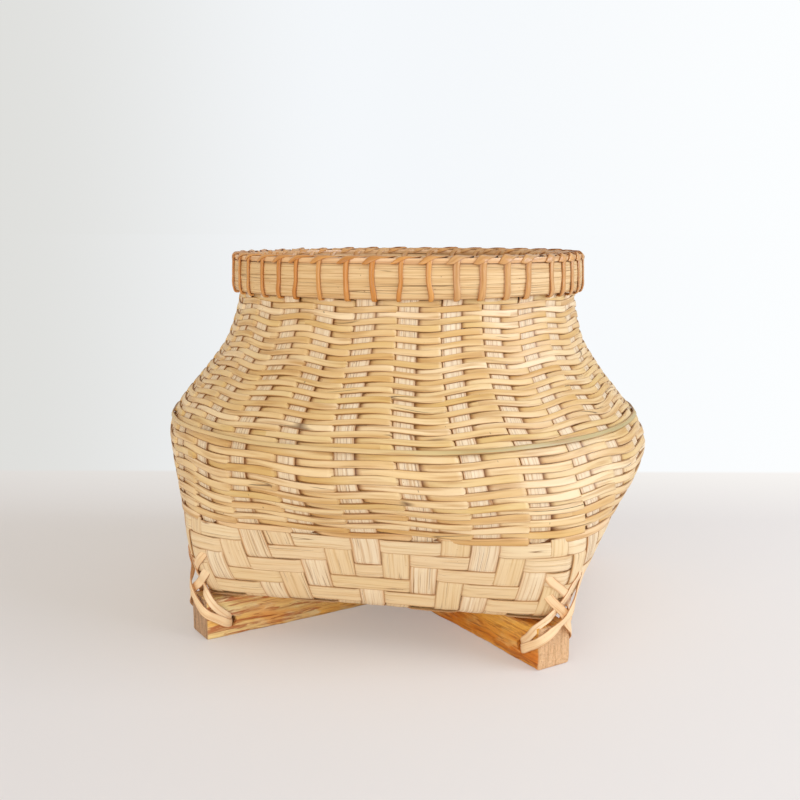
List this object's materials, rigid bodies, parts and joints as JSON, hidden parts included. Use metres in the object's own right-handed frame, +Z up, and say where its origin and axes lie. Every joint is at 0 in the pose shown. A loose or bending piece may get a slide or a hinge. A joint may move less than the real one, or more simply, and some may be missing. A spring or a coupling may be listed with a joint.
{
  "type": "bamboo basket",
  "caption": "Open bamboo basket with a square twill-woven base, a round wicker belly, a lashed rim and a foot of crossed wooden bars.",
  "frame": {"origin": "on the ground under the middle of the basket, where the two foot bars cross", "axes": "+Z up along the basket's round axis; the base's sides face X and Y, and the foot bars run along the diagonals"},
  "size_m": [0.179, 0.179, 0.1336],
  "materials": {
    "splint_bamboo": "split bamboo, smooth, aged to honey, with fine lengthwise fibres",
    "wicker_bamboo": "narrow split bamboo weavers, satin, honey brown",
    "rim_bamboo": "wide split bamboo, smooth skin side, pale tan",
    "rattan": "split rattan cane, glossy skin, orange brown",
    "foot_wood": "worn hardwood, oiled, with dark streaks and paler end grain"
  },
  "bodies": {
    "root": {"foot_bar_lower": "foot_wood", "foot_bar_upper": "foot_wood", "corner_tie_back_left": "rattan", "corner_tie_back_right": "rattan", "corner_tie_front_left": "rattan", "corner_tie_front_right": "rattan", "short_splint_x_01": "splint_bamboo", "stake_splint_x_02": "splint_bamboo", "short_splint_x_03": "splint_bamboo", "stake_splint_x_04": "splint_bamboo", "short_splint_x_05": "splint_bamboo", "stake_splint_x_06": "splint_bamboo", "short_splint_x_07": "splint_bamboo", "stake_splint_x_08": "splint_bamboo", "short_splint_x_09": "splint_bamboo", "stake_splint_x_10": "splint_bamboo", "short_splint_x_11": "splint_bamboo", "stake_splint_x_12": "splint_bamboo", "short_splint_x_13": "splint_bamboo", "stake_splint_x_14": "splint_bamboo", "short_splint_x_15": "splint_bamboo", "short_splint_y_01": "splint_bamboo", "stake_splint_y_02": "splint_bamboo", "short_splint_y_03": "splint_bamboo", "stake_splint_y_04": "splint_bamboo", "short_splint_y_05": "splint_bamboo", "stake_splint_y_06": "splint_bamboo", "short_splint_y_07": "splint_bamboo", "stake_splint_y_08": "splint_bamboo", "short_splint_y_09": "splint_bamboo", "stake_splint_y_10": "splint_bamboo", "short_splint_y_11": "splint_bamboo", "stake_splint_y_12": "splint_bamboo", "short_splint_y_13": "splint_bamboo", "stake_splint_y_14": "splint_bamboo", "short_splint_y_15": "splint_bamboo", "wall_band_1": "splint_bamboo", "wall_band_2": "splint_bamboo", "wall_band_3": "splint_bamboo", "wall_band_4": "splint_bamboo", "wall_band_5": "splint_bamboo", "lower_wicker": "wicker_bamboo", "belly_wicker": "wicker_bamboo", "shoulder_wicker": "wicker_bamboo", "neck_wicker": "wicker_bamboo", "shoulder_binder": "splint_bamboo", "outer_rim_hoop": "rim_bamboo", "inner_rim_hoop": "rim_bamboo", "rim_core": "rim_bamboo", "rim_lashing": "rattan"}
  },
  "joints": []
}
